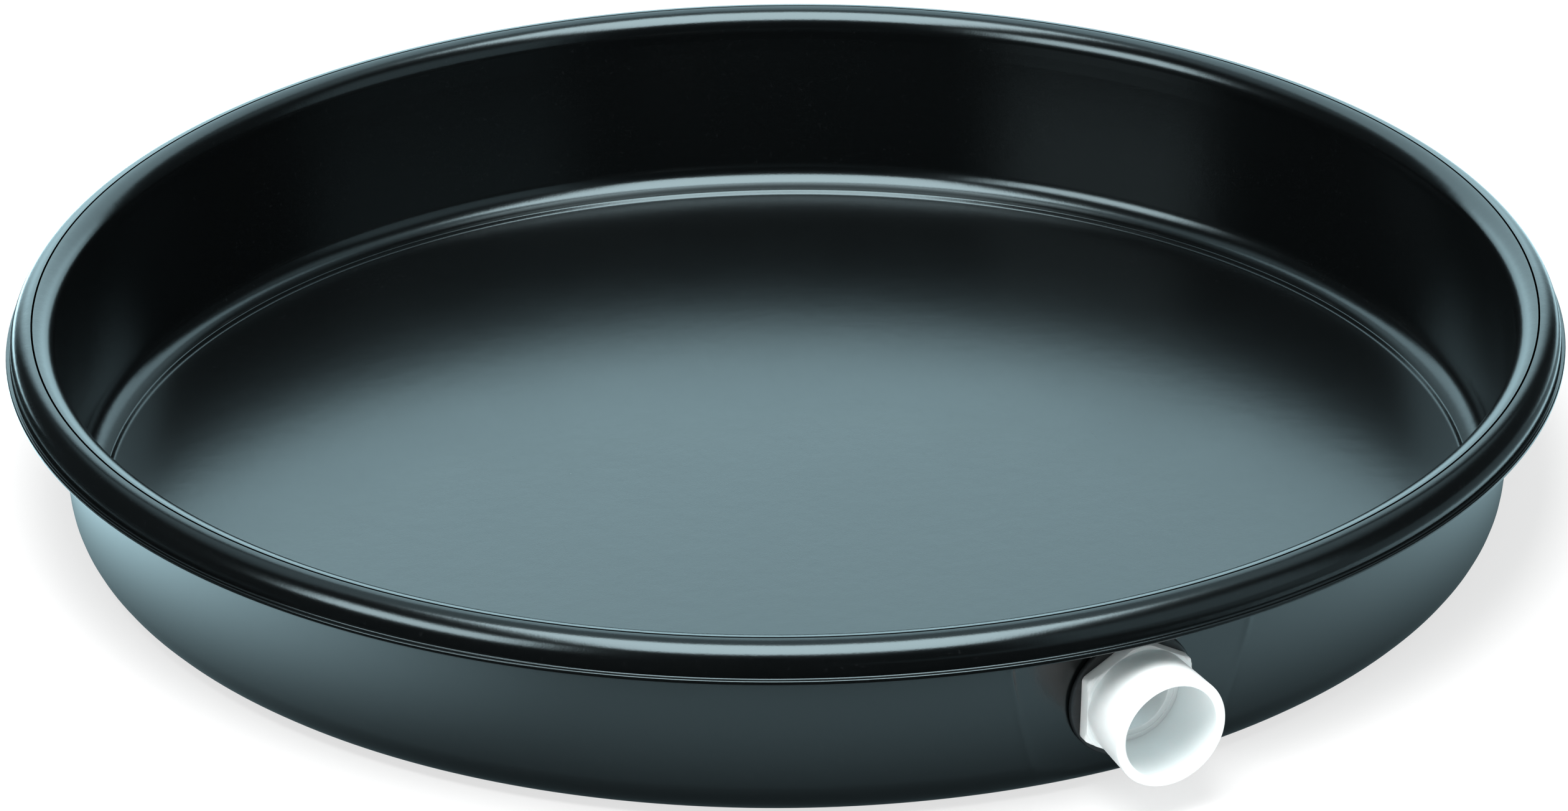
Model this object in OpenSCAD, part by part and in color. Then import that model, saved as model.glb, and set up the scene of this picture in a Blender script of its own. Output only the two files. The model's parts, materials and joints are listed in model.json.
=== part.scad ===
// Round drain pan with a side drain adapter, its flat gasket and its lock nut.
// Millimetres. +Z is up. The origin is on the pan's axis, on the plane it stands on.
// The drain adapter points along -Y.

/* [Pan body] */
// Outside radius of the wall where the bottom corner ends
wall_radius = 259.7; // [150:0.1:400]
// Outward lean of the wall, in degrees
wall_draft = 5.3; // [0:0.1:12]
// Sheet thickness of wall, rim and floor
sheet = 2.6; // [1.5:0.1:5]
// Outside radius of the bottom corner
corner_radius = 15.0; // [6:0.1:25]
// Inside radius where wall meets floor
cove_radius = 8.6; // [3:0.1:15]
// Radius of the sunk floor at the top of its sloped step
floor_radius = 247.8; // [100:0.1:390]
// Drop from the narrow outer ledge to the sunk floor
floor_step = 1.6; // [0.5:0.1:5]
// Inward run of that step's slope
step_run = 1.3; // [0.3:0.1:4]

/* [Rim] */
// Height of the lip's underside above the standing plane
lip_height = 62.0; // [30:0.1:150]
// Outside radius of the lip, the pan's largest
lip_radius = 279.4; // [160:0.1:420]
// Thickness of the lip
lip_thickness = 1.7; // [1:0.1:4]
// Outside radius of the rolled bead's section
bead_radius = 8.1; // [4:0.1:15]
// Distance from the pan's axis to the bead's centre
bead_centre_radius = 269.6; // [150:0.1:410]
// Height of the bead's centre
bead_centre_height = 66.5; // [30:0.1:160]
// Height of the easing that carries the wall into the bead
kick_height = 5.0; // [2:0.1:12]

/* [Port] */
// Height of the drain port's centre
port_height = 34.0; // [20:0.1:80]
// Distance from the pan's axis to the flat pad's outer face
pad_distance = 258.2; // [150:0.1:400]
// Downward tilt of the port's axis, in degrees
port_tilt = 3.0; // [0:0.1:10]
// Height where the flat pad runs out into the wall
pad_top = 58.5; // [40:0.5:120]

/* [Drain adapter] */
// Radius of the pipe socket
socket_radius = 16.83; // [8:0.01:60]
// Depth of the pipe socket
socket_depth = 26.0; // [10:0.1:60]
// Radius of the water way behind the pipe stop
water_way_radius = 13.2; // [5:0.1:50]
// Barrel radius at the hexagon
barrel_root_radius = 19.3; // [10:0.1:70]
// Barrel radius at the mouth
barrel_mouth_radius = 20.2; // [10:0.1:70]
// Barrel length in front of the hexagon
barrel_length = 21.8; // [8:0.1:60]
// Width of the hexagon across its flats
hexagon_flats = 39.0; // [20:0.1:140]
// Thickness of the hexagon
hexagon_thickness = 5.0; // [2:0.1:15]
// Radius of the threaded spigot
spigot_radius = 16.7; // [8:0.01:60]
// Length of the spigot inside the pan's wall
spigot_reach = 15.0; // [8:0.1:40]

/* [Gasket] */
// Outside radius of the gasket
gasket_radius = 23.0; // [12:0.1:80]
// Thickness of the gasket, clamped
gasket_thickness = 2.4; // [1:0.1:6]

/* [Lock nut] */
// Width of the lock nut across its flats
nut_flats = 42.0; // [22:0.1:150]
// Thickness of the lock nut
nut_thickness = 8.0; // [3:0.1:20]
// Thickness of the round bearing face that meets the wall
nut_face_thickness = 1.0; // [0.4:0.1:4]

/* [Fits] */
// Radial clearance of the spigot in port, gasket and nut
running_clearance = 0.06; // [0.01:0.01:0.1]
// Gap between clamped faces that turn on each other
face_gap = 0.03; // [0:0.01:0.2]

/* [Hidden] */
$fn = 180;
pan_color = [0.03, 0.035, 0.038];
adapter_color = [0.93, 0.93, 0.91];
gasket_color = [0.05, 0.05, 0.055];
nut_color = [0.88, 0.88, 0.86];
draft_slope = tan(wall_draft);
ledge_top = sheet + floor_step;
corner_centre = wall_radius - corner_radius;
cove_centre_radius = wall_radius - sheet - cove_radius;
cove_centre_height = ledge_top + cove_radius;
bead_top = bead_centre_height + bead_radius;
bead_inner_radius = bead_centre_radius - bead_radius;
bead_outer_radius = bead_centre_radius + bead_radius;
kick_top = lip_height + lip_thickness;
kick_foot = kick_top - kick_height;
kick_drop = sheet * 0.38;
outer_at_foot = wall_radius + (kick_foot - kick_drop - corner_radius) * draft_slope;
inner_at_foot = wall_radius - sheet + (kick_foot - corner_radius) * draft_slope;
inner_at_cove = wall_radius - sheet + (cove_centre_height - corner_radius) * draft_slope;
block = 2 * lip_radius;
hexagon_radius = hexagon_flats / sqrt(3);
nut_radius = nut_flats / sqrt(3);
hexagon_back = face_gap + gasket_thickness;
hexagon_front = hexagon_back + hexagon_thickness;
mouth = hexagon_front + barrel_length;
spigot_end = -(sheet + spigot_reach);
port_radius = spigot_radius + running_clearance;
mouth_round = 1.0;
socket_chamfer = 0.6;
thread_chamfer = 1.2;
gasket_round = 0.8;
hexagon_chamfer = 1.0;

// Outside of floor, corner and wall, as a half section filled to the axis.
module wall_outline() {
  square([corner_centre, corner_radius]);
  translate([corner_centre, corner_radius]) circle(r = corner_radius);
  polygon([
    [0, corner_radius],
    [wall_radius, corner_radius],
    [outer_at_foot, kick_foot - kick_drop],
    [bead_inner_radius + sheet, kick_top - kick_drop],
    [bead_inner_radius + sheet, bead_centre_height],
    [0, bead_centre_height]
  ]);
}

// Half section of the room inside the pan below the bead.
module cavity_outline() {
  polygon([
    [0, sheet],
    [floor_radius - step_run, sheet],
    [floor_radius, ledge_top],
    [cove_centre_radius, ledge_top],
    [cove_centre_radius, cove_centre_height],
    [0, cove_centre_height]
  ]);
  translate([cove_centre_radius, cove_centre_height]) circle(r = cove_radius);
  polygon([
    [0, cove_centre_height],
    [inner_at_cove, cove_centre_height],
    [inner_at_foot, kick_foot],
    [bead_inner_radius, kick_top],
    [bead_inner_radius, bead_top + 1],
    [0, bead_top + 1]
  ]);
}

// Half section of the rolled bead, its skirt and the thin lip.
module rim_outline() {
  difference() {
    translate([bead_centre_radius, bead_centre_height]) circle(r = bead_radius);
    translate([bead_centre_radius, bead_centre_height]) circle(r = bead_radius - sheet);
    translate([bead_inner_radius - 1, bead_centre_height - 2 * bead_radius])
      square([2 * bead_radius + 2, 2 * bead_radius]);
  }
  translate([bead_outer_radius - sheet, lip_height])
    square([sheet, bead_centre_height - lip_height]);
  translate([bead_outer_radius - sheet, lip_height])
    square([lip_radius - lip_thickness / 2 - bead_outer_radius + sheet, lip_thickness]);
  translate([lip_radius - lip_thickness / 2, lip_height + lip_thickness / 2])
    circle(r = lip_thickness / 2);
}

// Moves a child from the port's own frame, where +Z leaves the pan, to its place.
module at_port() {
  translate([0, -pad_distance, port_height]) rotate([90 + port_tilt, 0, 0]) children();
}

// Everything outward of a plane parallel to the pad, running out above the pad.
module outside_pad(depth) {
  rise = pad_top - port_height;
  at_port() translate([-block / 2, 0, 0]) rotate([90, 0, 90]) linear_extrude(block)
    polygon([
      [-2 * port_height, depth],
      [rise, depth],
      [rise + 4 * sheet, depth + 4 * sheet],
      [rise + 4 * sheet, depth + 20 * sheet],
      [-2 * port_height, depth + 20 * sheet]
    ]);
}

module pan() {
  color(pan_color) difference() {
    union() {
      difference() {
        rotate_extrude() wall_outline();
        outside_pad(0);
      }
      rotate_extrude() rim_outline();
    }
    difference() {
      rotate_extrude() cavity_outline();
      outside_pad(-sheet);
    }
    at_port() translate([0, 0, -3 * sheet]) cylinder(h = 6 * sheet, r = port_radius);
  }
}

// Six-sided prism whose front corners are turned down to a cone.
module turned_hexagon(circumradius, thickness, chamfer) {
  intersection() {
    cylinder(h = thickness, r = circumradius, $fn = 6);
    union() {
      cylinder(h = thickness - chamfer, r = circumradius + 1);
      translate([0, 0, thickness - chamfer])
        cylinder(h = chamfer, r1 = circumradius, r2 = circumradius - 1.6 * chamfer);
    }
  }
}

// Half section of the barrel with its rounded mouth.
module barrel_outline() {
  difference() {
    union() {
      polygon([
        [0, hexagon_back],
        [barrel_root_radius, hexagon_back],
        [barrel_root_radius, hexagon_front],
        [barrel_mouth_radius, mouth - mouth_round],
        [0, mouth - mouth_round]
      ]);
      translate([0, mouth - mouth_round])
        square([barrel_mouth_radius - mouth_round, mouth_round]);
      translate([barrel_mouth_radius - mouth_round, mouth - mouth_round])
        circle(r = mouth_round);
    }
    polygon([
      [0, mouth - socket_depth],
      [socket_radius, mouth - socket_depth],
      [socket_radius, mouth - socket_chamfer],
      [socket_radius + socket_chamfer, mouth + 0.01],
      [0, mouth + 0.01]
    ]);
  }
}

module drain_adapter() {
  color(adapter_color) at_port() difference() {
    union() {
      rotate_extrude() barrel_outline();
      translate([0, 0, hexagon_back]) difference() {
        rotate([0, 0, 30])
          turned_hexagon(hexagon_radius, hexagon_thickness, hexagon_chamfer);
        translate([0, 0, mouth - socket_depth - hexagon_back])
          cylinder(h = hexagon_thickness, r = socket_radius);
      }
      translate([0, 0, spigot_end + thread_chamfer])
        cylinder(h = hexagon_back - spigot_end - thread_chamfer, r = spigot_radius);
      translate([0, 0, spigot_end])
        cylinder(h = thread_chamfer, r1 = spigot_radius - thread_chamfer, r2 = spigot_radius);
    }
    translate([0, 0, spigot_end - 1])
      cylinder(h = mouth - spigot_end, r = water_way_radius);
  }
}

module gasket() {
  color(gasket_color) at_port() difference() {
    translate([0, 0, face_gap]) rotate_extrude() {
      square([gasket_radius - gasket_round, gasket_thickness]);
      translate([0, gasket_round])
        square([gasket_radius, gasket_thickness - 2 * gasket_round]);
      translate([gasket_radius - gasket_round, gasket_round]) circle(r = gasket_round);
      translate([gasket_radius - gasket_round, gasket_thickness - gasket_round])
        circle(r = gasket_round);
    }
    translate([0, 0, -1]) cylinder(h = gasket_thickness + 2, r = port_radius);
  }
}

module lock_nut() {
  color(nut_color) at_port() translate([0, 0, -(sheet + face_gap)]) difference() {
    rotate([180, 0, 0]) {
      translate([0, 0, nut_face_thickness])
        turned_hexagon(nut_radius, nut_thickness - nut_face_thickness, hexagon_chamfer);
      cylinder(h = nut_face_thickness, r = nut_flats / 2 - 0.4);
    }
    translate([0, 0, -nut_thickness - 1])
      cylinder(h = nut_thickness + 2, r = port_radius);
  }
}

pan();
drain_adapter();
gasket();
lock_nut();
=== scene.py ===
"""Looks of the round drain pan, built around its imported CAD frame.

Sizes of the object are in millimetres. Meshes, materials, lights and the camera are in metres.
"""

import json
import math

import bpy
import numpy as np
from mathutils import Matrix, Vector


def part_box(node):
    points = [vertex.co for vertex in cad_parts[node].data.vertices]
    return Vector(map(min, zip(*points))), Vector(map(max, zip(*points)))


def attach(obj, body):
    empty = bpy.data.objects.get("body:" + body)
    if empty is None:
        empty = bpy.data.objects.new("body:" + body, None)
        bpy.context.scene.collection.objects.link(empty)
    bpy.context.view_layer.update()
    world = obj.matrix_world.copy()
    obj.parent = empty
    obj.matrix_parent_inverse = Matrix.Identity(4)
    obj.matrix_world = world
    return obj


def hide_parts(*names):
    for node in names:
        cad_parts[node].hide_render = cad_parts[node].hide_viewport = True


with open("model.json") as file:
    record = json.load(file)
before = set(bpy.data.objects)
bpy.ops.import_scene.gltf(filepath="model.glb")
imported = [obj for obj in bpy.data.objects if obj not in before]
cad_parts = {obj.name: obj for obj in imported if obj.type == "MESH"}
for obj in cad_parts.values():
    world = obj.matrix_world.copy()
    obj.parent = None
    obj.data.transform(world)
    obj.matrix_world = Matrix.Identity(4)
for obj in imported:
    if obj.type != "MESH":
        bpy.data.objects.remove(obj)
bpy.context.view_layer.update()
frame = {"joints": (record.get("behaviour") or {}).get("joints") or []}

MM = 0.001
TAU = 2 * math.pi

# ---------------------------------------------------------------- pan sizes, as in the CAD
LIP_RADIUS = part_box("pan")[1].x / MM
BEAD_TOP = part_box("pan")[1].z / MM
SHEET = 2.6
BEAD_RADIUS = 8.1
LIP_WIDTH = 1.7
LIP_THICKNESS = 1.7
RIM_DEPTH = 12.6
BEAD_OUTER = LIP_RADIUS - LIP_WIDTH
BEAD_INNER = BEAD_OUTER - 2 * BEAD_RADIUS
LIP_HEIGHT = BEAD_TOP - RIM_DEPTH
WALL_RADIUS = 259.7
WALL_SLOPE = math.tan(math.radians(5.3))
CORNER_RADIUS = 15.0
COVE_RADIUS = 8.6
STEP_HEIGHT = 1.6
STEP_RADIUS = 247.8
STEP_RUN = 1.3
KICK_TOP = LIP_HEIGHT + LIP_THICKNESS
KICK_FOOT = KICK_TOP - 5.0
KICK_DROP = 0.38 * SHEET
LEDGE = SHEET + STEP_HEIGHT

# ---------------------------------------------------------------- port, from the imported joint
TURN = next(j for j in frame["joints"] if j["name"] == "adapter_turn")
PORT_AXIS = Vector(TURN["axis"]).normalized()
PORT_POINT = Vector(TURN["pos_m"])
PORT_DISTANCE = -PORT_POINT.y / MM
PORT_HEIGHT = PORT_POINT.z / MM
PORT_RADIUS = 16.76
PAD_SLOPE = PORT_AXIS.z / PORT_AXIS.y
PAD_TOP = 58.5

# ---------------------------------------------------------------- fitting sizes, along the port
PITCH = 25.4 / 11.5
SPIGOT_RADIUS = 16.7
SPIGOT_END = -17.6
HEX_BACK = 2.43
HEX_FRONT = 7.43
HEX_FLATS = 39.0
BARREL_ROOT = 19.3
BARREL_MOUTH = 20.2
SOCKET_RADIUS = 16.83
MOUTH = 29.23
PIPE_STOP = MOUTH - 26.0
WATER_WAY = 13.2
NUT_FLATS = 42.0
NUT_FACE = -2.63
NUT_FACE_RADIUS = NUT_FLATS / 2 - 0.4
NUT_FACE_THICKNESS = 1.0
NUT_END = -10.63
GASKET_RADIUS = 23.0
GASKET_LOW = 0.03
GASKET_HIGH = 2.42

# ---------------------------------------------------------------- detail the CAD leaves out
# Raised crease along the pad's edges: height, half width and the height it starts at.
CREASE_HEIGHT = 0.3
CREASE_WIDTH = 0.18
CREASE_FOOT = 6
# Softness of the turn from the wall into the pad, and of the pad's run-out at its top.
PAD_SOFTNESS = 0.07
PAD_TOP_SOFTNESS = 2.0
# The thread runs past the spigot's end and fades out under the hexagon.
THREAD_DEPTH = 0.78 * PITCH
THREAD_LOW = SPIGOT_END - 4.0
THREAD_HIGH = HEX_BACK - 0.6
THREAD_FADE = 1.6
THREAD_ROW = PITCH / 10
# Room between the two threads, and the bore between the nut's thread ridges.
THREAD_CLEARANCE = 0.12
NUT_BORE = 15.35
NUT_BORE_MOUTH = 17.3
# Corner that a hexagon loses, and how softly.
HEX_CORNER = 0.35
HEX_SOFTNESS = 0.12
CHAMFER_SOFTNESS = 0.08
CHAMFER_SLOPE = 1.5
# Angles over a quarter turn, for rounded edges.
QUARTER = [math.pi / 2 * k / 4 for k in range(5)]


# ---------------------------------------------------------------- mesh helpers
def fillet_path(corners, arc_step, closed=False, support=0.35):
    """Polyline through (x, y, radius) corners, each rounded by its radius.

    Arcs are cut into steps of arc_step degrees, with a support point beside either end."""
    out = []
    count = len(corners)
    for i, (x, y, radius) in enumerate(corners):
        here = np.array([x, y], float)
        is_end = not closed and i in (0, count - 1)
        if radius <= 0 or is_end:
            out.append(here)
            continue
        before = np.array(corners[i - 1][:2], float)
        after = np.array(corners[(i + 1) % count][:2], float)
        u = (before - here) / np.linalg.norm(before - here)
        v = (after - here) / np.linalg.norm(after - here)
        half = math.acos(np.clip(u @ v, -1, 1)) / 2
        reach = radius / math.tan(half)
        centre = here + (u + v) / np.linalg.norm(u + v) * radius / math.sin(half)
        start = here + u * reach
        end = here + v * reach
        start_angle = math.atan2(*(start - centre)[::-1])
        end_angle = math.atan2(*(end - centre)[::-1])
        sweep = (end_angle - start_angle + math.pi) % TAU - math.pi
        steps = max(3, int(abs(math.degrees(sweep)) / arc_step) + 1)
        if np.linalg.norm(before - here) > reach + 3 * support:
            out.append(start + u * support)
        for k in range(steps + 1):
            a = start_angle + sweep * k / steps
            out.append(centre + radius * np.array([math.cos(a), math.sin(a)]))
        if np.linalg.norm(after - here) > reach + 3 * support:
            out.append(end + v * support)
    clean = [out[0]]
    for point in out[1:]:
        if np.linalg.norm(point - clean[-1]) > 1e-4:
            clean.append(point)
    return np.array(clean)


def divide(path, longest, where=lambda a, b: True):
    """Adds points so that no segment that passes `where` is longer than `longest`."""
    out = [path[0]]
    for a, b in zip(path[:-1], path[1:]):
        parts = max(1, math.ceil(np.linalg.norm(b - a) / longest)) if where(a, b) else 1
        out += [a + (b - a) * k / parts for k in range(1, parts + 1)]
    return np.array(out)


def grid_object(name, points, closed_rows):
    """Closed mesh from rows x columns of points in metres.

    Columns close round. Rows close too, or else the first and last row shrink to poles."""
    rows, cols = points.shape[:2]
    verts = points.reshape(-1, 3)
    j = np.arange(cols)
    k = (j + 1) % cols
    quads = []
    for i in range(rows if closed_rows else rows - 1):
        a = i * cols
        b = (i + 1) % rows * cols
        quads.append(np.stack([a + j, a + k, b + k, b + j], -1))
    quads = np.concatenate(quads)
    tris = np.zeros((0, 3), int)
    if not closed_rows:
        verts = np.vstack([verts[cols:-cols], points[0].mean(0), points[-1].mean(0)])
        first_pole, last_pole = len(verts) - 2, len(verts) - 1
        quads = quads[cols:-cols] - cols
        last_row = (rows - 3) * cols
        tris = np.concatenate([
            np.stack([np.full(cols, first_pole), k, j], -1),
            np.stack([np.full(cols, last_pole), last_row + j, last_row + k], -1),
        ])
    loops = np.concatenate([quads.ravel(), tris.ravel()])
    tri_starts = len(quads) * 4 + np.arange(len(tris)) * 3
    starts = np.concatenate([np.arange(len(quads)) * 4, tri_starts])
    mesh = bpy.data.meshes.new(name)
    mesh.vertices.add(len(verts))
    mesh.loops.add(len(loops))
    mesh.polygons.add(len(starts))
    mesh.vertices.foreach_set("co", verts.astype(np.float32).ravel())
    mesh.loops.foreach_set("vertex_index", loops.astype(np.int32))
    mesh.polygons.foreach_set("loop_start", starts.astype(np.int32))
    mesh.update(calc_edges=True)
    mesh.validate()
    volume = sum(p.center.dot(p.normal) * p.area for p in mesh.polygons)
    if volume < 0:
        mesh.flip_normals()
    mesh.shade_smooth()
    obj = bpy.data.objects.new(name, mesh)
    bpy.context.scene.collection.objects.link(obj)
    return obj


def smooth_min(a, b, softness):
    """The lower of two arrays, rounded over `softness` where they cross."""
    low = np.minimum(a, b)
    return low - softness * np.log(np.exp(-(a - low) / softness) + np.exp(-(b - low) / softness))


def port_matrix():
    """Frame on the pad's outer face whose Z axis leaves the pan through the port."""
    x = Vector((1, 0, 0))
    matrix = Matrix((x, PORT_AXIS.cross(x), PORT_AXIS)).transposed().to_4x4()
    matrix.translation = PORT_POINT
    return matrix


def finish_piece(obj, body, node, material, sharp_angle):
    """Gives a piece its finish and its body, and sharp shading past an angle in degrees."""
    obj.data.set_sharp_from_angle(angle=math.radians(sharp_angle))
    obj.data.materials.clear()
    obj.data.materials.append(material)
    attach(obj, body)
    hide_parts(node)


# ---------------------------------------------------------------- materials
class Shading:
    """A node tree, with a short call for each kind of node used here."""

    def __init__(self, tree, output, coordinates):
        self.nodes = tree.nodes
        self.links = tree.links
        self.nodes.clear()
        self.surface = self.add(output).inputs["Surface"]
        self.place = self.add("TexCoord").outputs[coordinates]

    def plug(self, socket, value):
        """Sets an input to a number or colour, or links it to another node's output."""
        if isinstance(value, (int, float, tuple)):
            socket.default_value = value
        else:
            self.links.new(value, socket)

    def add(self, kind, inputs=None, **settings):
        node = self.nodes.new("ShaderNode" + kind)
        for name, value in settings.items():
            setattr(node, name, value)
        for key, value in (inputs or {}).items():
            self.plug(node.inputs[key], value)
        return node

    def noise(self, scale, detail=4.0, roughness=0.5, stretch=None):
        vector = self.place
        if stretch is not None:
            mapping = self.add("Mapping", {"Vector": vector, "Scale": stretch})
            vector = mapping.outputs["Vector"]
        inputs = {"Vector": vector, "Scale": scale, "Detail": detail, "Roughness": roughness}
        return self.add("TexNoise", inputs).outputs["Fac"]

    def ramp(self, value, low, high, out_low, out_high, interpolation="LINEAR"):
        """Carries low..high over to out_low..out_high, and holds the value past the ends."""
        inputs = {
            "Value": value, "From Min": low, "From Max": high,
            "To Min": out_low, "To Max": out_high,
        }
        return self.add("MapRange", inputs, interpolation_type=interpolation).outputs["Result"]

    def ease(self, value, low, high, out_low, out_high):
        """A ramp with soft ends."""
        return self.ramp(value, low, high, out_low, out_high, "SMOOTHSTEP")

    def window(self, value, low, high, soft):
        """1 between low and high, fading to 0 from `soft` before to `soft` past either edge."""
        return self.times(
            self.ease(value, low - soft, low + soft, 0.0, 1.0),
            self.ease(value, high - soft, high + soft, 1.0, 0.0),
        )

    def calc(self, operation, a, b):
        return self.add("Math", {0: a, 1: b}, operation=operation).outputs["Value"]

    def times(self, first, *others):
        for other in others:
            first = self.calc("MULTIPLY", first, other)
        return first

    def plus(self, first, *others):
        for other in others:
            first = self.calc("ADD", first, other)
        return first

    def along(self, direction):
        """How far the shaded point, or in the world the view ray, goes in a direction."""
        inputs = {0: self.place, 1: direction}
        return self.add("VectorMath", inputs, operation="DOT_PRODUCT").outputs["Value"]

    def tint(self, factor, color, other):
        """The colour, turning into the other one as the factor goes from 0 to 1."""
        inputs = {"Factor": factor, 6: color, 7: other}
        return self.add("Mix", inputs, data_type="RGBA").outputs[2]

    def bump(self, height, strength, distance, below=None):
        inputs = {"Height": height, "Strength": strength, "Distance": distance}
        if below is not None:
            inputs["Normal"] = below
        return self.add("Bump", inputs).outputs["Normal"]

    def pointiness(self):
        return self.add("NewGeometry").outputs["Pointiness"]

    def principled(self, inputs):
        return self.add("BsdfPrincipled", inputs).outputs["BSDF"]

    def emission(self, color, strength):
        return self.add("Emission", {"Color": color, "Strength": strength}).outputs["Emission"]

    def background(self, color, strength):
        inputs = {"Color": color, "Strength": strength}
        return self.add("Background", inputs).outputs["Background"]

    def either(self, factor, shader, other):
        """The shader, turning into the other one as the factor goes from 0 to 1."""
        return self.add("MixShader", {"Fac": factor, 1: shader, 2: other}).outputs["Shader"]


def new_material(name):
    material = bpy.data.materials.new(name)
    material.use_nodes = True
    return material, Shading(material.node_tree, "OutputMaterial", "Object")


def pan_material():
    """Black moulded plastic: specks, worn ridges, uneven gloss, a matt floor and fine grain."""
    material, s = new_material("pan_plastic")
    shade = s.noise(7.0, detail=3.0)
    tone = s.tint(shade, (0.0012, 0.0015, 0.0016, 1), (0.0024, 0.0029, 0.0031, 1))
    speck = s.ramp(s.noise(900.0, detail=2.0), 0.62, 0.75, 0.0, 0.5)
    tone = s.tint(speck, tone, (0.009, 0.010, 0.011, 1))
    ridge = s.ramp(s.pointiness(), 0.53, 0.60, 0.0, 0.35)
    patchy = s.ramp(s.noise(45.0, detail=5.0), 0.5, 0.7, 0.0, 1.0)
    worn = s.times(ridge, patchy)
    tone = s.tint(worn, tone, (0.020, 0.022, 0.023, 1))
    cloudy = s.ramp(s.noise(11.0, detail=6.0, roughness=0.6), 0.3, 0.7, 0.17, 0.20)
    streaks = s.noise(900.0, detail=3.0, roughness=0.6, stretch=(1.0, 0.12, 1.0))
    scuff = s.ramp(streaks, 0.62, 0.75, 0.0, 0.03)
    height = s.add("SeparateXYZ", {"Vector": s.place}).outputs["Z"]
    matt_floor = s.ramp(height, 0.0028, 0.0036, 0.05, 0.0)
    peel = s.bump(s.noise(130.0, detail=2.0), 0.10, 0.0004)
    grain = s.bump(s.noise(1500.0, detail=3.0, roughness=0.6), 0.16, 0.00012, peel)
    s.plug(s.surface, s.principled({
        "Base Color": tone,
        "Roughness": s.plus(cloudy, scuff, s.times(worn, 0.3), matt_floor),
        "IOR": 1.5,
        "Normal": grain,
    }))
    return material


def white_material(name, warmth):
    """White plastic that lets a little light through: clouds, specks, and painted shade that
    darkens its corners.
    """
    material, s = new_material(name)
    tone = s.tint(s.noise(60.0), (0.81, 0.86, 0.865, 1), (0.87, 0.92, 0.925 - warmth, 1))
    speck = s.ramp(s.noise(2600.0, detail=2.0), 0.66, 0.8, 0.0, 0.35)
    tone = s.tint(speck, tone, (0.66, 0.70, 0.70, 1))
    # Painted shade: concave corners and recesses get a darker, cooler tone.
    painted_recess_shade = s.ramp(s.pointiness(), 0.40, 0.49, 0.30, 0.0)
    tone = s.tint(painted_recess_shade, tone, (0.52, 0.57, 0.58, 1))
    flow = s.bump(s.noise(300.0, detail=3.0), 0.12, 0.0003)
    fine = s.bump(s.noise(3500.0, detail=2.0), 0.12, 0.00006, flow)
    s.plug(s.surface, s.principled({
        "Base Color": tone,
        "Roughness": s.ramp(s.noise(240.0, detail=5.0), 0.3, 0.7, 0.28, 0.42),
        "IOR": 1.5,
        "Subsurface Weight": 0.6,
        "Subsurface Radius": (0.9, 1.0, 1.0),
        "Subsurface Scale": 0.004,
        "Normal": fine,
    }))
    return material


def rubber_material():
    """Dull dark rubber with pale bloom and small pits."""
    material, s = new_material("gasket_rubber")
    cloud = s.noise(120.0, detail=5.0)
    tone = s.tint(cloud, (0.006, 0.006, 0.0065, 1), (0.018, 0.018, 0.019, 1))
    bloom = s.ramp(s.noise(420.0), 0.58, 0.75, 0.0, 0.35)
    s.plug(s.surface, s.principled({
        "Base Color": s.tint(bloom, tone, (0.05, 0.05, 0.052, 1)),
        "Roughness": s.ramp(cloud, 0.3, 0.7, 0.42, 0.62),
        "Normal": s.bump(s.noise(2200.0), 0.35, 0.00015),
    }))
    return material


# ---------------------------------------------------------------- pan
def wall_radius_at(height, inset=0.0):
    """Outside radius of the leaning wall, less an inset."""
    return WALL_RADIUS - inset + (height - CORNER_RADIUS) * WALL_SLOPE


def pan_profile():
    """Half section from the floor's centre, over the rim, to the underside's centre.

    Also says which of its points are on the inner and on the outer wall."""
    step_foot_round, step_top_round = 1.4, 0.9
    kick_foot_round, kick_top_round = 12.0, 6.0
    lip_round, skirt_round = 0.5, 0.4
    # Keeps the bead's two quarter arcs from ending in the same point.
    hair = 1e-3
    outer_foot = KICK_FOOT - KICK_DROP
    hollow_top = BEAD_TOP - SHEET
    hollow_round = BEAD_RADIUS - SHEET
    corners = [
        (0, SHEET, 0),
        (STEP_RADIUS - STEP_RUN, SHEET, step_foot_round),
        (STEP_RADIUS, LEDGE, step_top_round),
        (wall_radius_at(LEDGE, SHEET), LEDGE, COVE_RADIUS),
        (wall_radius_at(KICK_FOOT, SHEET), KICK_FOOT, kick_foot_round),
        (BEAD_INNER, KICK_TOP, kick_top_round),
        (BEAD_INNER, BEAD_TOP, BEAD_RADIUS),
        (BEAD_OUTER, BEAD_TOP, BEAD_RADIUS - hair),
        (BEAD_OUTER, KICK_TOP, lip_round),
        (LIP_RADIUS, KICK_TOP, lip_round),
        (LIP_RADIUS, LIP_HEIGHT, lip_round),
        (BEAD_OUTER - SHEET, LIP_HEIGHT, skirt_round),
        (BEAD_OUTER - SHEET, hollow_top, hollow_round),
        (BEAD_INNER + SHEET, hollow_top, hollow_round - hair),
        (BEAD_INNER + SHEET, KICK_TOP - KICK_DROP, kick_top_round),
        (wall_radius_at(outer_foot), outer_foot, kick_foot_round),
        (wall_radius_at(0), 0, CORNER_RADIUS),
        (0, 0, 0),
    ]

    def on_wall(a, b):
        return min(a[0], b[0]) > STEP_RADIUS + 2 and max(a[1], b[1]) < KICK_TOP + 0.5

    path = divide(fillet_path(corners, arc_step=9.0), 20.0)
    path = divide(path, 3.5, on_wall)
    radius, height = path.T
    top = int(np.argmax(height))
    index = np.arange(len(path))
    below_kick = height < KICK_TOP + 0.1
    inner = (index < top) & (radius > STEP_RADIUS + 1.0) & below_kick
    outer = (index > top) & (radius < BEAD_INNER + SHEET + 0.1) & below_kick
    return path, inner, outer


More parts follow.
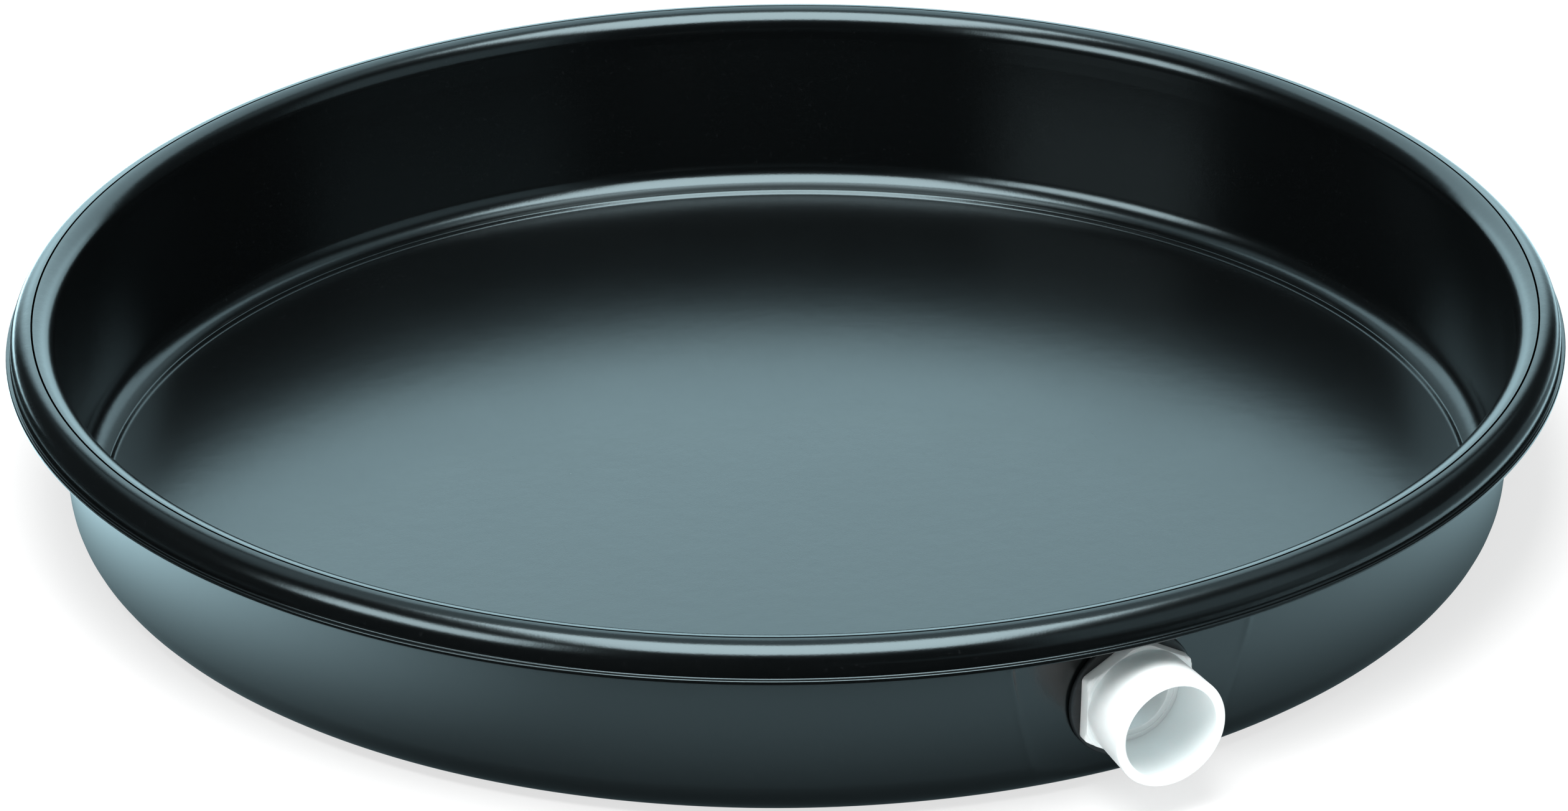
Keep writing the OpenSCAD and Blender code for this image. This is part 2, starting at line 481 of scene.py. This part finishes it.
def pan_angles():
    """Azimuths round the pan, closest where the flat pad meets the round wall."""
    pad_edge = np.arange(7, 11, 0.1)
    pad = np.arange(-6.5, 7, 0.5)
    round_wall = np.arange(11.5, 348.3, 1.15)
    degrees = np.concatenate([-pad_edge[::-1] - 0.5, pad, pad_edge + 0.4, round_wall])
    return np.radians(degrees)


def cut_port(pan):
    """Cuts the port through the pad."""
    bpy.ops.mesh.primitive_cylinder_add(vertices=144, radius=PORT_RADIUS * MM, depth=30 * MM)
    drill = bpy.context.object
    drill.matrix_world = port_matrix()
    cut = pan.modifiers.new("port", "BOOLEAN")
    cut.object = drill
    cut.operation = "DIFFERENCE"
    cut.solver = "EXACT"
    bpy.context.view_layer.objects.active = pan
    bpy.ops.object.modifier_apply(modifier=cut.name)
    bpy.data.objects.remove(drill)
    pan.data.shade_smooth()


def build_pan(material):
    path, inner, outer = pan_profile()
    angle = pan_angles()
    radius = np.repeat(path[:, :1], len(angle), 1)
    height = np.repeat(path[:, 1:], len(angle), 1)
    facing = np.cos(angle)
    ahead = facing > 0.5
    pad = PORT_DISTANCE + PAD_SLOPE * (height - PORT_HEIGHT)
    above = height - PAD_TOP
    pad = pad + 0.5 * (above + np.sqrt(above ** 2 + PAD_TOP_SOFTNESS ** 2))
    for rows, depth in ((outer, 0.0), (inner, SHEET)):
        limit = (pad - depth) / np.where(ahead, facing, 1.0)
        limit = np.where(ahead, limit, 1e4)
        flattened = smooth_min(radius, limit, PAD_SOFTNESS)
        if depth == 0.0:
            crease = np.exp(-((limit - radius) / CREASE_WIDTH) ** 2)
            flattened = flattened + CREASE_HEIGHT * crease * (height > CREASE_FOOT)
        radius = np.where(rows[:, None], flattened, radius)
    points = np.stack([radius * np.sin(angle), -radius * np.cos(angle), height], -1) * MM
    pan = grid_object("pan_shell", points, closed_rows=False)
    cut_port(pan)
    finish_piece(pan, "pan", "pan", material, sharp_angle=50)


# ---------------------------------------------------------------- fitting
def lathe(name, rows, angle):
    """Closed mesh about the port's axis.

    Each row is a radius, or an array of radii at the angles, and a place along the axis."""
    radius = np.array([np.broadcast_to(r, angle.shape) for r, _ in rows])
    z = np.array([np.full(angle.shape, h) for _, h in rows])
    around = np.broadcast_to(angle, radius.shape)
    local = np.stack([radius * np.cos(around), radius * np.sin(around), z], -1) * MM
    matrix = np.array(port_matrix())
    return grid_object(name, local @ matrix[:3, :3].T + matrix[:3, 3], closed_rows=True)


def fitting_angles(sides=360):
    return np.linspace(0, TAU, sides, endpoint=False)


def hexagon(angle, flats, turn):
    """Radius of a hexagon with softened corners at each angle."""
    sector = (angle - turn + math.pi / 6) % (math.pi / 3) - math.pi / 6
    sharp = flats / 2 / np.cos(sector)
    corner = flats / math.sqrt(3) - HEX_CORNER
    return smooth_min(sharp, np.full_like(sharp, corner), HEX_SOFTNESS)


def thread_drop(angle, z):
    """How far the right-hand thread cuts in, from 0 at the crest to THREAD_DEPTH at the root."""
    phase = (z / PITCH - angle / TAU) % 1.0
    cut = np.clip((1 - np.abs(2 * phase - 1)) * 1.12 - 0.06, 0, 1)
    fade_in = np.clip((z - THREAD_LOW) / THREAD_FADE, 0, 1)
    fade_out = np.clip((THREAD_HIGH - z) / THREAD_FADE, 0, 1)
    return THREAD_DEPTH * cut * fade_in * fade_out


def thread_places(low, high, length):
    """Row places from low to high, as close as the thread needs over that length."""
    return np.linspace(low, high, int(length / THREAD_ROW))


def hex_rows(hex_radius, inner_low, inner_high, low, high, edge, chamfer):
    """Rows over a hexagonal flange: up its low face, its sides and its chamfered high face."""
    rows = []
    peak = float(hex_radius.max()) + 0.1

    def turned(drop):
        """The hexagon inside the chamfer's cone, where the cone has dropped that far."""
        cone = np.full_like(hex_radius, peak - drop * CHAMFER_SLOPE)
        return smooth_min(hex_radius, cone, CHAMFER_SOFTNESS)

    for share in (0.05, 0.3, 0.6, 0.85, 0.97):
        rows.append((inner_low + (hex_radius - edge - inner_low) * share, low))
    for a in QUARTER:
        rows.append((hex_radius - edge + edge * math.sin(a), low + edge - edge * math.cos(a)))
    for z in np.linspace(low + edge + 0.2, high - edge, 9):
        rows.append((turned(max(0.0, z - (high - chamfer))), z))
    top = turned(chamfer - edge)
    for a in QUARTER[1:]:
        rows.append((top - edge * (1 - math.cos(a)), high - edge + edge * math.sin(a)))
    for share in (0.03, 0.2, 0.5, 0.9):
        rows.append((top - edge - (top - edge - inner_high) * share, high))
    return rows


def build_adapter(material):
    angle = fitting_angles()
    # The spigot's end, from the water way out to the thread's run-in.
    rows = [
        (13.6, SPIGOT_END),
        (14.6, SPIGOT_END),
        (15.1, SPIGOT_END + 0.05),
        (15.4, SPIGOT_END + 0.2),
    ]
    low, high = SPIGOT_END + 0.4, HEX_BACK - 0.3
    for z in thread_places(low, high, high - low):
        taper = min(SPIGOT_RADIUS, 15.5 + (z - SPIGOT_END))
        rows.append((np.minimum(SPIGOT_RADIUS - thread_drop(angle, z), taper), z))
    rows.append((SPIGOT_RADIUS, HEX_BACK - 0.1))
    rows += hex_rows(
        hexagon(angle, HEX_FLATS, turn=0.0), SPIGOT_RADIUS, BARREL_ROOT + 0.12,
        HEX_BACK, HEX_FRONT, edge=0.35, chamfer=1.3,
    )
    # The barrel, its mouth, the socket down to the pipe stop, and the water way.
    barrel = [
        (BARREL_ROOT + 0.1, HEX_FRONT, 0),
        (BARREL_ROOT, HEX_FRONT + 0.1, 0),
        (BARREL_MOUTH, MOUTH, 1.0),
        (17.5, MOUTH, 0.35),
        (SOCKET_RADIUS, MOUTH - 0.7, 0.3),
        (SOCKET_RADIUS, PIPE_STOP, 0.25),
        (15.3, PIPE_STOP, 0),
        (15.2, PIPE_STOP - 0.4, 0),
        (WATER_WAY, PIPE_STOP - 0.4, 0.3),
        (WATER_WAY, SPIGOT_END, 0.3),
        (WATER_WAY + 0.3, SPIGOT_END, 0),
    ]
    rows += [tuple(point) for point in divide(fillet_path(barrel, 15, support=0.2), 2.5)]
    adapter = lathe("adapter_body", rows, angle)
    finish_piece(adapter, "drain_adapter", "drain_adapter", material, 40)


def build_nut(material):
    angle = fitting_angles()
    rows = []
    for z in thread_places(NUT_END + 0.3, NUT_FACE - 0.3, NUT_FACE - NUT_END):
        thread = SPIGOT_RADIUS - thread_drop(angle, z) + THREAD_CLEARANCE
        mouth = NUT_BORE_MOUTH - 1.2 * min(z - NUT_END, NUT_FACE - z)
        rows.append((np.maximum(np.maximum(thread, NUT_BORE), mouth), z))
    rows += [(17.4, NUT_FACE), (17.9, NUT_FACE), (NUT_FACE_RADIUS - 0.6, NUT_FACE)]
    face_round = 0.3
    for a in QUARTER:
        rows.append((
            NUT_FACE_RADIUS - face_round + face_round * math.sin(a),
            NUT_FACE - face_round + face_round * math.cos(a),
        ))
    rows.append((NUT_FACE_RADIUS, NUT_FACE - 0.9))
    thickness = NUT_FACE - NUT_END - NUT_FACE_THICKNESS
    flange = hex_rows(
        hexagon(angle, NUT_FLATS, turn=math.pi / 6), NUT_FACE_RADIUS + 0.02, 17.9,
        0.0, thickness, edge=0.30, chamfer=1.4,
    )
    rows += [(r, NUT_FACE - NUT_FACE_THICKNESS - z) for r, z in flange]
    rows += [(17.4, NUT_END), (17.2, NUT_END + 0.1)]
    nut = lathe("lock_nut_body", rows, angle)
    finish_piece(nut, "lock_nut", "lock_nut", material, 40)


def build_gasket(material):
    inner = PORT_RADIUS + 0.05
    shoulder = GASKET_RADIUS - 0.25
    section = [
        (inner, GASKET_LOW, 0.2),
        (shoulder, GASKET_LOW, 0.7),
        (GASKET_RADIUS, (GASKET_LOW + GASKET_HIGH) / 2, 0.9),
        (shoulder, GASKET_HIGH, 0.7),
        (inner, GASKET_HIGH, 0.2),
    ]
    path = divide(fillet_path(section, 15, closed=True, support=0.15), 1.5)
    gasket = lathe("gasket_ring", [tuple(point) for point in path], fitting_angles(240))
    finish_piece(gasket, "drain_adapter", "gasket", material, 45)


# ---------------------------------------------------------------- camera
VIEW_AZIMUTH = math.radians(-25.7)
VIEW_ELEVATION = math.radians(25.67)
VIEW_ROLL = -0.0098
VIEW_DISTANCE = 8.254 * LIP_RADIUS * MM
VIEW_TARGET = Vector((-0.0007, 0.0003, 0.0277))
# Level directions, from the pan towards the camera and to the camera's right.
TOWARD = (math.sin(VIEW_AZIMUTH), -math.cos(VIEW_AZIMUTH), 0)
RIGHTWARD = (math.cos(VIEW_AZIMUTH), math.sin(VIEW_AZIMUTH), 0)


def look_at(target, azimuth, elevation, distance):
    """Placement of a camera or lamp that looks at the target from there."""
    level = math.cos(elevation)
    back = Vector((
        math.sin(azimuth) * level, -math.cos(azimuth) * level, math.sin(elevation),
    ))
    right = Vector((math.cos(azimuth), math.sin(azimuth), 0))
    rotation = Matrix((right, back.cross(right), back)).transposed().to_4x4()
    return Matrix.Translation(Vector(target) + back * distance) @ rotation


def build_camera():
    camera = bpy.data.objects.new("camera", bpy.data.cameras.new("camera"))
    bpy.context.scene.collection.objects.link(camera)
    placement = look_at(VIEW_TARGET, VIEW_AZIMUTH, VIEW_ELEVATION, VIEW_DISTANCE)
    camera.matrix_world = placement @ Matrix.Rotation(VIEW_ROLL, 4, "Z")
    camera.data.sensor_width = 36
    camera.data.lens = 145.96
    camera.data.clip_end = 50
    bpy.context.scene.camera = camera


# ---------------------------------------------------------------- light and stage
WHITE = (1, 1, 1, 1)
NEAR_WHITE = (0.96, 1.0, 1.0, 1)
COOL = (0.67, 1.0, 1.11, 1)
SOFTBOX = (0.75, 1.0, 1.07, 1)

# Strengths of what only reflections see, and of the plain light on matt surfaces.
BOX_GLOW = 12.0
STRIP_GLOW = 10.0
CEILING_GLOW = 0.8
FILL_GLOW = 0.62
ROOM_GLOW = 0.04
PLAIN_GLOW = 0.55

# Reach of each reflected lamp: its low edge, its high edge and how softly they fade.
# Tilt climbs from the camera's side over the top, and turn goes round to the right, both in
# radians. Across is the ray's sideways part over its upward part. Up is its upward part.
BOX_TILT = (math.radians(50), math.radians(96), 0.05)
BOX_ACROSS = (-0.45, 0.50, 0.07)
STRIP_TURN = (math.radians(-72), math.radians(-37), 0.10)
STRIP_UP = (0.20, 0.56, 0.08)
CEILING_TILT = (math.radians(97), math.radians(150), 0.10)
CEILING_ACROSS = (-1.0, 1.0, 0.40)
FILL_TURN = (math.radians(36), math.radians(82), 0.10)
FILL_UP = (-0.30, 0.60, 0.12)
# Ray depth is 2 at a first reflection. The strip is weaker from the second one on.
STRIP_BY_DEPTH = (2.0, 3.0, 1.0, 0.25)

# The lit table that reflections see, as (from, to, value at from, value at to) in metres.
TABLE_FOOT_SHADE = (0.250, 0.325, 0.05, 1.0)
TABLE_EDGE = (0.328, 0.352, 1.0, 0.0)
TABLE_EDGE_OUT_RIGHT = (0.08, 0.28, 0.0, 0.035)
TABLE_EDGE_OUT_FAR = (-0.35, -0.20, 0.5, 0.0)
TABLE_LEFT = (-0.09, -0.34, 1.2, 4.3)
TABLE_RIGHT = (0.10, 0.30, 0.0, 0.35)
TABLE_BEYOND_RIGHT = (0.30, 0.40, ROOM_GLOW, 0.3)
# Share of plain white in the floor that the camera sees, to keep its shadow faint.
FLOOR_WHITE = 0.7

# The glowing wall behind the pan. X and Y run from -0.5 to 0.5 across it.
BACKDROP_SIZE = (2.1, 1.8, 1)
BACKDROP_DISTANCE = 1.0
BACKDROP_LEVEL = (-0.35, 0.35, 2.45, 2.0)
BACKDROP_X = (-0.37, 0.34, 0.09)
BACKDROP_Y = (-0.6, 0.44, 0.06)
BACKDROP_FOOT = (-0.42, -0.30, 0.8, 1.4)
BACKDROP_UPPER = (-0.30, -0.20, 1.0, 0.72)


def build_world():
    """The studio. It is white to the camera and near white to matt surfaces.

    Glossy surfaces see a dark room with a soft box from overhead towards the camera, a dim
    ceiling behind it, a low strip light at the front left and a weak fill at the front right.
    """
    world = bpy.data.worlds.new("studio")
    bpy.context.scene.world = world
    world.use_nodes = True
    s = Shading(world.node_tree, "OutputWorld", "Generated")
    rays = s.add("LightPath").outputs
    front, side, up = s.along(TOWARD), s.along(RIGHTWARD), s.along((0, 0, 1))
    tilt = s.calc("ARCTAN2", up, front)
    turn = s.calc("ARCTAN2", side, front)
    across = s.calc("DIVIDE", side, s.calc("MAXIMUM", up, 0.05))
    box = s.times(s.window(tilt, *BOX_TILT), s.window(across, *BOX_ACROSS), BOX_GLOW)
    strip = s.times(
        s.window(turn, *STRIP_TURN), s.window(up, *STRIP_UP), STRIP_GLOW,
        s.ease(rays["Ray Depth"], *STRIP_BY_DEPTH),
    )
    ceiling = s.times(
        s.window(tilt, *CEILING_TILT), s.window(across, *CEILING_ACROSS), CEILING_GLOW,
    )
    fill = s.times(s.window(turn, *FILL_TURN), s.window(up, *FILL_UP), FILL_GLOW)
    lamps = s.background(SOFTBOX, s.plus(box, strip))
    room = s.background(COOL, s.plus(ceiling, fill, ROOM_GLOW))
    reflected = s.add("AddShader", {0: lamps, 1: room}).outputs["Shader"]
    lit = s.either(rays["Is Glossy Ray"], s.background(NEAR_WHITE, PLAIN_GLOW), reflected)
    s.plug(s.surface, s.either(rays["Is Camera Ray"], lit, s.background(WHITE, 1.0)))


def build_floor():
    """Pale paper. Reflections see a lit table, shaded at the pan's foot, dark past its edge."""
    bpy.ops.mesh.primitive_circle_add(vertices=96, radius=14, fill_type="NGON")
    floor = bpy.context.object
    floor.name = "floor"
    floor.location.z = -0.0004
    material, s = new_material("paper")
    rays = s.add("LightPath").outputs
    paper = s.principled({
        "Base Color": s.tint(
            s.noise(90.0, detail=6.0), (0.93, 0.93, 0.93, 1), (0.96, 0.96, 0.96, 1),
        ),
        "Roughness": 0.9,
        "Specular IOR Level": 0.1,
    })
    ahead, side = s.along(TOWARD), s.along(RIGHTWARD)
    centre_distance = s.add("VectorMath", {0: s.place}, operation="LENGTH").outputs["Value"]
    edge_distance = s.calc("SUBTRACT", centre_distance, s.ease(side, *TABLE_EDGE_OUT_RIGHT))
    edge_distance = s.calc("SUBTRACT", edge_distance, s.ease(ahead, *TABLE_EDGE_OUT_FAR))
    sides = s.plus(s.ease(side, *TABLE_LEFT), s.ease(side, *TABLE_RIGHT))
    table = s.times(
        s.ease(centre_distance, *TABLE_FOOT_SHADE), s.ease(edge_distance, *TABLE_EDGE), sides,
    )
    table = s.plus(table, s.ease(side, *TABLE_BEYOND_RIGHT))
    white_share = s.times(rays["Is Camera Ray"], FLOOR_WHITE)
    seen = s.either(white_share, paper, s.emission(WHITE, 1.0))
    s.plug(s.surface, s.either(rays["Is Glossy Ray"], seen, s.emission(COOL, table)))
    floor.data.materials.append(material)


def build_backdrop():
    """Glowing wall behind the pan that only reflections see."""
    bpy.ops.mesh.primitive_plane_add(size=1)
    wall = bpy.context.object
    wall.name = "backdrop"
    right, back, up = Vector(RIGHTWARD), Vector(TOWARD), Vector((0, 0, 1))
    wall.matrix_world = Matrix((right, up, back)).transposed().to_4x4()
    wall.matrix_world.translation = -back * BACKDROP_DISTANCE + up * BACKDROP_SIZE[1] / 2
    wall.scale = BACKDROP_SIZE
    material, s = new_material("backdrop_glow")
    place = s.add("SeparateXYZ", {"Vector": s.place}).outputs
    glow = s.times(
        s.ease(place["X"], *BACKDROP_LEVEL),
        s.window(place["X"], *BACKDROP_X),
        s.window(place["Y"], *BACKDROP_Y),
        s.ease(place["Y"], *BACKDROP_FOOT),
        s.ease(place["Y"], *BACKDROP_UPPER),
    )
    s.plug(s.surface, s.emission(COOL, glow))
    wall.data.materials.append(material)
    for ray in ("camera", "diffuse", "transmission", "shadow", "volume_scatter"):
        setattr(wall, "visible_" + ray, False)


def build_key_light():
    """Soft overhead light a little left of the camera, left out of reflections."""
    data = bpy.data.lights.new("key", "AREA")
    data.shape = "RECTANGLE"
    data.size = 1.1
    data.size_y = 1.1
    data.energy = 62
    lamp = bpy.data.objects.new("key", data)
    bpy.context.scene.collection.objects.link(lamp)
    azimuth = VIEW_AZIMUTH + math.radians(-15)
    lamp.matrix_world = look_at((0, 0, 0.03), azimuth, math.radians(68), distance=2.0)
    lamp.visible_glossy = False


# ---------------------------------------------------------------- the scene
build_pan(pan_material())
build_adapter(white_material("adapter_plastic", warmth=0.0))
build_gasket(rubber_material())
build_nut(white_material("nut_plastic", warmth=0.02))
build_camera()
build_world()
build_floor()
build_backdrop()
build_key_light()
bpy.context.scene.view_settings.view_transform = "Standard"
